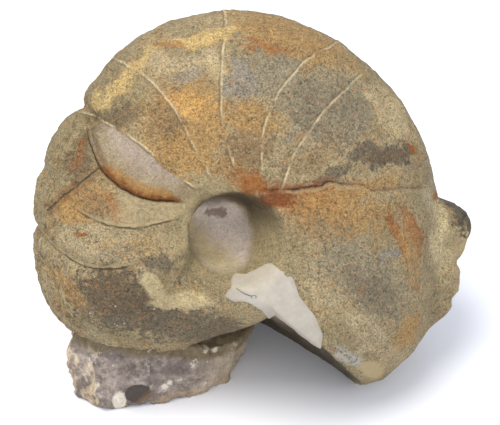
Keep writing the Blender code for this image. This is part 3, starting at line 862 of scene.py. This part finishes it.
# faces turned to the left get a lighter tan: partly the rock's own tone, partly painted light from the key
# lamp on the left
left_face = (facing_x + small * 0.3).step(-0.42, -0.62)
left_tone_and_painted_light = blended((medium + small).step(-0.2, 0.2), linear(168, 150, 128), linear(196, 180, 160))
left_tone_and_painted_light = blended((noise_at(2.0, 3.3, 4.0, 0.7)).step(0.02, 0.2) * 0.7, left_tone_and_painted_light, linear(130, 112, 98))
paint = blended(left_face, paint, left_tone_and_painted_light)
right_end = (world_x / MM + medium * 14.0).step(-34.0, -14.0)
paint = blended(right_end * 0.65, paint, linear(178, 164, 146))
foot = (world_z / MM + medium * 10.0).step(9.0, 2.0) * (world_x / MM).step(-52.0, -46.0)
paint = blended(foot * 0.55, paint, linear(170, 148, 122))
top_edge = (world_z / MM - 34.0 + medium * 8.0 + (world_x / MM + 70.0).over(0.0) * 0.28).step(0.0, 5.0)
paint = blended(top_edge * 0.8, paint, linear(100, 88, 64))
white = (pocks(point, 9.0, 4.7) + small * 0.7 + speck * 0.5).step(0.30, 0.14)
white = white * (medium + speck * 0.5).step(-0.05, 0.10)
white = white.over(noise_at(4.2, 5.9, 4.0, 0.65).step(0.17, 0.23) * 0.8)
paint = blended(white * 0.85, paint, linear(214, 206, 198))
beside = (world_x - (BURROW.x - 0.0095)) / 0.0035
chalky = (beside * beside + ((world_z - 0.006) / 0.007) ** 2.0 + small * 1.5).step(1.4, 0.5)
chalky = chalky * facing_y.step(-0.3, -0.6)
paint = blended(chalky * 0.8, paint, linear(222, 214, 206))
plug_x, plug_z = (world_x - BURROW.x) / BURROW_RADIUS, (world_z - BURROW.z) / BURROW_RADIUS
plug_away = (plug_x * plug_x + plug_z * plug_z).math("SQRT") + small * 0.15
plug_paint = blended((plug_x - plug_z + small).step(0.2, 1.3), linear(84, 76, 73), linear(132, 108, 86))
plug = plug_away.step(1.05, 0.93) * facing_y.step(-0.2, -0.5)
paint = blended(plug, paint, plug_paint)
light_and_dark = 1.42 + (small * 0.9 + speck * 1.1 + grain * 1.3) * (1.0 - plug * 0.6) - plug * 0.35
paint = vector_math("SCALE", paint, light_and_dark)
grain_height = small * 0.35 + speck * 0.3 + grain * 0.22
finish_material(shader, paint, 0.86 + small * 0.2, 0.3, grain_height, 0.0011)


# ============================================================ the plaster fill
# A preparator filled the gap at the lip between navel and mouth with white plaster, trowelled level
# with the stone and rounded over the lip. It is set in a recess and has a hooked scratch.

# the fill's outline in the coil plane (x, y), and the flank's height there
FILL_OUTLINE = [(-0.0050, -0.0300, 0.045), (-0.0010, -0.0225, 0.053), (0.0060, -0.0180, 0.060),
                (0.0180, -0.0164, 0.062), (0.0262, -0.0236, 0.063), (0.0285, -0.0330, 0.064),
                (0.0351, -0.0432, 0.063), (0.0383, -0.0530, 0.060), (0.0372, -0.0610, 0.056),
                (0.0310, -0.0660, 0.055), (0.0200, -0.0520, 0.056), (0.0105, -0.0375, 0.056),
                (0.0040, -0.0322, 0.054), (-0.0020, -0.0322, 0.049)]
FLANK_CORNERS = 9                  # the first corners lie on the stone; the others pass the lip
FILL_DEPTH = 0.008
FILL_PROUD = 0.0007


def on_coil(x, y, height):
    return COIL_CENTRE + COIL_RIGHT * x + COIL_UP * y + COIL_AXIS * height


shape = bmesh.new()
low_ring = [shape.verts.new(on_coil(x, y, height - FILL_DEPTH)) for x, y, height in FILL_OUTLINE]
high_ring = [shape.verts.new(on_coil(x, y, height + FILL_DEPTH)) for x, y, height in FILL_OUTLINE]
for j in range(len(low_ring)):
    k = (j + 1) % len(low_ring)
    shape.faces.new((low_ring[j], low_ring[k], high_ring[k], high_ring[j]))
shape.faces.new(low_ring)
shape.faces.new(high_ring)
bmesh.ops.triangulate(shape, faces=shape.faces)
bmesh.ops.recalc_face_normals(shape, faces=shape.faces)
plaster = object_from(shape, "plaster_patch")

smooth_sizes = [(label, 0.0 if label == "Relief" else size) for label, size in COIL_SIZES]
form_counts = [("Treads", 216), ("Rib Points", 100), ("Mouth Steps", 20), ("Seed", 7)]
form = grown("fill_form", coil_tree, coil_socket, smooth_sizes + form_counts)
for vertex, place, facing in surface_of(form):
    vertex.co = place + facing * FILL_PROUD
cut = plaster.modifiers.new("Level", "BOOLEAN")
cut.operation = "INTERSECT"
cut.solver = "EXACT"
cut.object = form
graph = bpy.context.evaluated_depsgraph_get()
level = bpy.data.meshes.new_from_object(plaster.evaluated_get(graph))
plaster.modifiers.remove(cut)
plaster.data = level
bpy.data.objects.remove(form, do_unlink=True)
remeshed(plaster, 0.0007)
soften = plaster.modifiers.new("Rounded by hand", "SMOOTH")
soften.factor = 0.5
soften.iterations = 6
graph = bpy.context.evaluated_depsgraph_get()
rounded = bpy.data.meshes.new_from_object(plaster.evaluated_get(graph))
plaster.modifiers.remove(soften)
plaster.data = rounded


def to_outline(x, y):
    """Distance from the fill's edge on the stone."""
    corners = [Vector(corner[:2]) for corner in FILL_OUTLINE[:FLANK_CORNERS]]
    here = Vector((x, y))
    nearest = 1.0
    for start, end in zip(corners, corners[1:]):
        share = min(1.0, max(0.0, (here - start).dot(end - start) / (end - start).length_squared))
        nearest = min(nearest, (here - start.lerp(end, share)).length)
    return nearest


for vertex, place, facing in surface_of(plaster):
    local = place - COIL_CENTRE
    x_here, y_here = local.dot(COIL_RIGHT), local.dot(COIL_UP)
    edge = max(0.0, 1.0 - to_outline(x_here, y_here) / 0.0028)
    outward = max(0.0, facing.dot(COIL_AXIS))
    rise = noise.fractal(place / 0.011, 0.9, 2.0, 3) * 0.00030 + noise.noise(place / 0.0018) * 0.00006
    sink = edge * edge * outward * (0.0013 + 0.0006 * noise.noise(place / 0.003))
    vertex.co = place + facing * rise - COIL_AXIS * sink
plaster.data.shade_smooth()

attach(plaster, "root")
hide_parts("plaster_fill")

white_plaster = bpy.data.materials.new("Trowelled plaster")
plaster.data.materials.clear()
plaster.data.materials.append(white_plaster)
tree, shader, point = started(white_plaster)
x, y, height, rho, back = coil_coordinates(point)
x_mm, y_mm = x / MM, y / MM
medium, small, grain = noise_at(8.0, 0.7), noise_at(2.2, 1.1), noise_at(0.7, 1.9)
paint = blended((medium + small * 0.5).step(-0.2, 0.25), linear(186, 179, 172), linear(196, 189, 182))
paint = blended((noise_at(5.0, 2.3, 4.0, 0.7)).step(0.10, 0.24) * 0.35, paint, linear(186, 178, 170))
# a hooked scratch at the navel end
bend = x_mm - 2.6 - small
course = (y_mm + 27.6 + bend * 0.62 - 0.05 * bend * bend).math("ABSOLUTE")
scratch = course.step(0.42, 0.12) * bend.step(-3.4, -2.8) * bend.step(3.4, 2.6)
hook = ((x_mm - 6.6) ** 2.0 + (y_mm + 29.6) ** 2.0).math("SQRT")
scratch = scratch.over((hook - 1.0).math("ABSOLUTE").step(0.32, 0.10) * y_mm.step(-30.4, -29.8) * 0.7)
paint = blended(scratch * 0.85, paint, linear(84, 76, 78))
stain = (rho / MM + medium * 8.0).step(32.0, 25.0)
paint = blended(stain * 0.25, paint, linear(186, 170, 140))
paint = vector_math("SCALE", paint, 1.0 + grain * 0.10 + small * 0.08)
trowel_marks = small * 0.3 + grain * 0.15 - scratch * 0.6
finish_material(shader, paint, 0.72 + medium * 0.3, 0.3, trowel_marks, 0.0006, 0.8)


# ============================================================ floor, light and camera
floor_mesh = bpy.data.meshes.new("floor")
floor_shape = bmesh.new()
bmesh.ops.create_grid(floor_shape, x_segments=1, y_segments=1, size=3.0)
floor_shape.to_mesh(floor_mesh)
floor_shape.free()
floor = bpy.data.objects.new("floor", floor_mesh)
bpy.context.collection.objects.link(floor)
paper = bpy.data.materials.new("Pale paper")
paper.use_nodes = True
paper.node_tree.nodes["Principled BSDF"].inputs["Base Color"].default_value = (0.86, 0.86, 0.87, 1.0)
paper.node_tree.nodes["Principled BSDF"].inputs["Roughness"].default_value = 0.9
floor_mesh.materials.append(paper)


def soft_light(name, place, aim, size, power, colour):
    lamp = bpy.data.lights.new(name, "AREA")
    lamp.shape = "DISK"
    lamp.size = size
    lamp.energy = power
    lamp.color = colour
    made = bpy.data.objects.new(name, lamp)
    made.location = place
    made.rotation_euler = (Vector(aim) - Vector(place)).to_track_quat("-Z", "Y").to_euler()
    bpy.context.collection.objects.link(made)


MIDDLE = (0.0, 0.0, 0.08)
soft_light("key", (-0.35, -0.25, 1.25), MIDDLE, 0.9, 16.0, (1.0, 0.97, 0.92))
soft_light("front_fill", (0.55, -1.3, 0.80), MIDDLE, 1.2, 7.5, (0.98, 0.98, 1.0))

world = bpy.data.worlds.new("Studio")
world.use_nodes = True
world.node_tree.nodes["Background"].inputs["Color"].default_value = (0.80, 0.86, 1.0, 1.0)
world.node_tree.nodes["Background"].inputs["Strength"].default_value = 0.98
bpy.context.scene.world = world
bpy.context.scene.view_settings.view_transform = "Standard"

CAMERA_ELEVATION = radians(35.0)
CAMERA_DISTANCE = 0.75
VIEW_WIDTH = 0.25                  # width of the view at the coil's centre
right = Vector((1.0, 0.0, 0.0))
upward = Vector((0.0, sin(CAMERA_ELEVATION), cos(CAMERA_ELEVATION)))
toward = right.cross(upward)
aim = COIL_CENTRE + right * 0.021
lens = bpy.data.cameras.new("camera")
lens.lens = lens.sensor_width * CAMERA_DISTANCE / VIEW_WIDTH
lens.clip_start = 0.01
camera = bpy.data.objects.new("camera", lens)
facing_aim = Matrix((right, upward, toward)).transposed().to_4x4()
camera.matrix_world = Matrix.Translation(aim + toward * CAMERA_DISTANCE) @ facing_aim
bpy.context.collection.objects.link(camera)
bpy.context.scene.camera = camera
